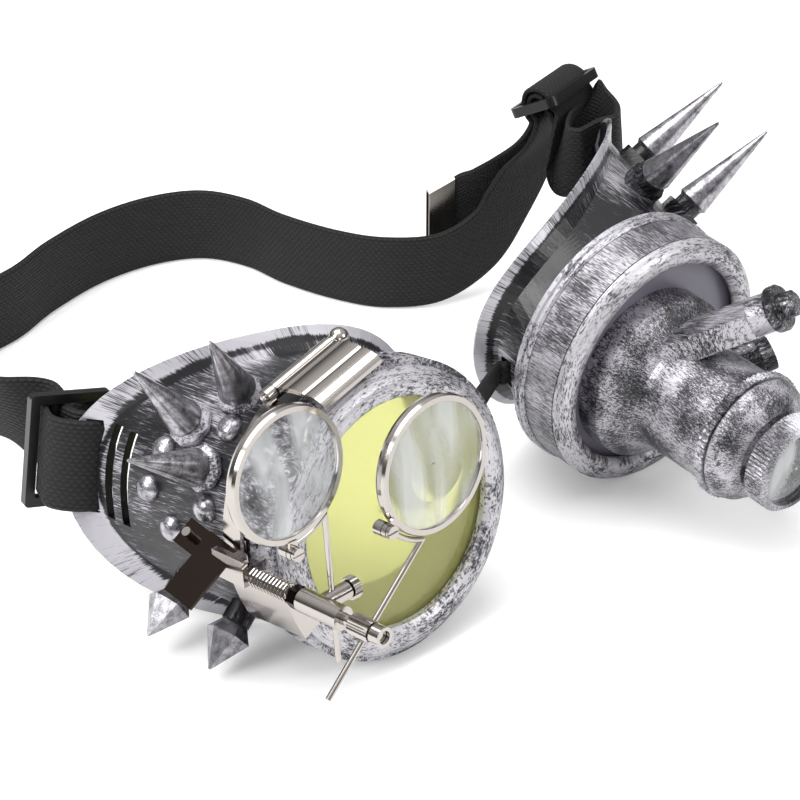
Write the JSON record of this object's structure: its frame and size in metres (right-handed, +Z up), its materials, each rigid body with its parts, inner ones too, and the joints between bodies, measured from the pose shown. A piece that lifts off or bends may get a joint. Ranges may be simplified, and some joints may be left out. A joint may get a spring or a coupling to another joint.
{
  "type": "riding goggles",
  "caption": "Spiked riding goggles with flared eye cups, a slatted lens ring with a clip-on double loupe, a capped front with a small scope, and an elastic head strap.",
  "frame": {"origin": "middle of the bounding box on the table that the goggles lie on", "axes": "+X along the line through the two cups towards the scope side, -Y the way the lenses face, +Z up from the table"},
  "size_m": [0.214, 0.2218, 0.084],
  "materials": {
    "brushed_silver": "silver dry-brushed over black moulded plastic",
    "stud_silver": "bright plated with soft scratches",
    "dark_fitting": "black with worn silver edges",
    "screw_steel": "plain zinc steel",
    "chrome_wire": "bright nickel plate",
    "dark_mirror": "polished dark steel",
    "yellow_lens": "pale yellow translucent acrylic",
    "loupe_glass": "clear ground glass",
    "disc_plastic": "grey-lilac smooth plastic",
    "gasket_rubber": "black rubber",
    "strap_elastic": "black ribbed woven elastic",
    "buckle_plastic": "black moulded plastic",
    "crimp_metal": "folded plated sheet"
  },
  "bodies": {
    "goggles": {"left_cup_shell": "brushed_silver", "left_spikes": "stud_silver", "left_spike_collars": "brushed_silver", "left_short_spikes": "stud_silver", "left_short_collars": "dark_fitting", "left_rivets": "stud_silver", "left_spike_screws": "screw_steel", "left_strap_loop": "strap_elastic", "left_buckle": "buckle_plastic", "clip_spine": "chrome_wire", "clip_upper_jaw": "chrome_wire", "clip_jaw_pin": "chrome_wire", "clip_lower_jaw": "chrome_wire", "clip_wire_hooks": "chrome_wire", "clip_lever_plate": "dark_mirror", "spindle_bracket": "chrome_wire", "spindle": "chrome_wire", "swing_spring": "chrome_wire", "spring_collar": "dark_mirror", "spindle_end_nut": "chrome_wire", "right_cup_shell": "brushed_silver", "right_bead_flange": "brushed_silver", "right_cap": "brushed_silver", "right_disc": "disc_plastic", "scope_lock_ring": "screw_steel", "scope_base": "brushed_silver", "scope_collar": "brushed_silver", "lever_arm": "brushed_silver", "side_port": "dark_fitting", "right_spikes": "stud_silver", "right_spike_nuts": "dark_fitting", "right_spike_screws": "screw_steel", "nose_strap": "strap_elastic", "head_strap": "strap_elastic", "strap_slider": "buckle_plastic", "end_crimp": "crimp_metal"},
    "left_lens_ring": {"left_slat_ring": "brushed_silver", "left_bezel": "brushed_silver", "left_lens": "yellow_lens", "left_lens_gasket": "gasket_rubber"},
    "right_lens_ring": {"right_bezel": "brushed_silver"},
    "scope_ring": {"scope_tooth_ring": "brushed_silver"},
    "scope_eyepiece": {"eyepiece": "brushed_silver", "eyepiece_lens": "loupe_glass"},
    "lever_knob": {"lever_end_cap": "dark_fitting"},
    "port_knob": {"side_knob": "dark_fitting"},
    "clip_screw": {"clip_thumb_screw": "chrome_wire"},
    "left_arm": {"left_arm_clamp": "chrome_wire", "left_arm": "chrome_wire", "left_lug_screw": "chrome_wire"},
    "left_set_screw": {"left_arm_screw": "chrome_wire"},
    "left_loupe": {"left_loupe_ring": "chrome_wire", "left_loupe_lens": "loupe_glass"},
    "right_arm": {"right_arm_clamp": "chrome_wire", "right_arm": "chrome_wire", "right_lug_screw": "chrome_wire"},
    "right_loupe": {"right_loupe_ring": "chrome_wire", "right_loupe_lens": "loupe_glass"}
  },
  "joints": [
    {"name": "left_ring_turn", "type": "hinge", "parent": "goggles", "child": "left_lens_ring", "pos_m": [-0.05309, -0.06191, 0.03268], "axis": [0.0625, 0.9818, -0.1795], "continuous": true},
    {"name": "right_ring_turn", "type": "hinge", "parent": "goggles", "child": "right_lens_ring", "pos_m": [0.03796, -0.06204, 0.03135], "axis": [0.1277, 0.9873, 0.0948], "continuous": true},
    {"name": "scope_ring_turn", "type": "hinge", "parent": "goggles", "child": "scope_ring", "pos_m": [0.03236, -0.09365, 0.02629], "axis": [0.1277, 0.9873, 0.0948], "continuous": true},
    {"name": "eyepiece_turn", "type": "hinge", "parent": "goggles", "child": "scope_eyepiece", "pos_m": [0.03075, -0.10609, 0.02509], "axis": [0.1277, 0.9873, 0.0948], "range_deg": [-150, 150]},
    {"name": "lever_knob_turn", "type": "hinge", "parent": "goggles", "child": "lever_knob", "pos_m": [0.04033, -0.09319, 0.05498], "axis": [0.3191, -0.7866, 0.5286], "continuous": true},
    {"name": "port_knob_turn", "type": "hinge", "parent": "goggles", "child": "port_knob", "pos_m": [0.05106, -0.08313, 0.03558], "axis": [0.7914, -0.491, 0.3641], "continuous": true},
    {"name": "clip_screw_turn", "type": "hinge", "parent": "goggles", "child": "clip_screw", "pos_m": [-0.08918, -0.04296, 0.03394], "axis": [0.604, 0.0364, -0.7962], "continuous": true},
    {"name": "left_arm_swing", "type": "hinge", "parent": "goggles", "child": "left_arm", "pos_m": [-0.0888, -0.07872, 0.03383], "axis": [-0.0249, -0.994, 0.1068], "range_deg": [-120, 90]},
    {"name": "left_set_screw_turn", "type": "hinge", "parent": "left_arm", "child": "left_set_screw", "pos_m": [-0.08081, -0.07892, 0.03377], "axis": [0.9996, -0.0258, -0.0069], "range_deg": [-180, 180]},
    {"name": "left_loupe_tilt", "type": "hinge", "parent": "left_arm", "child": "left_loupe", "pos_m": [-0.09427, -0.07699, 0.04862], "axis": [-0.0249, -0.994, 0.1068], "range_deg": [0, 20]},
    {"name": "right_arm_swing", "type": "hinge", "parent": "goggles", "child": "right_arm", "pos_m": [-0.0891, -0.09075, 0.03512], "axis": [-0.0249, -0.994, 0.1068], "range_deg": [-120, 90]},
    {"name": "right_loupe_tilt", "type": "hinge", "parent": "right_arm", "child": "right_loupe", "pos_m": [-0.08092, -0.08905, 0.05276], "axis": [-0.0249, -0.994, 0.1068], "range_deg": [0, 20]}
  ]
}
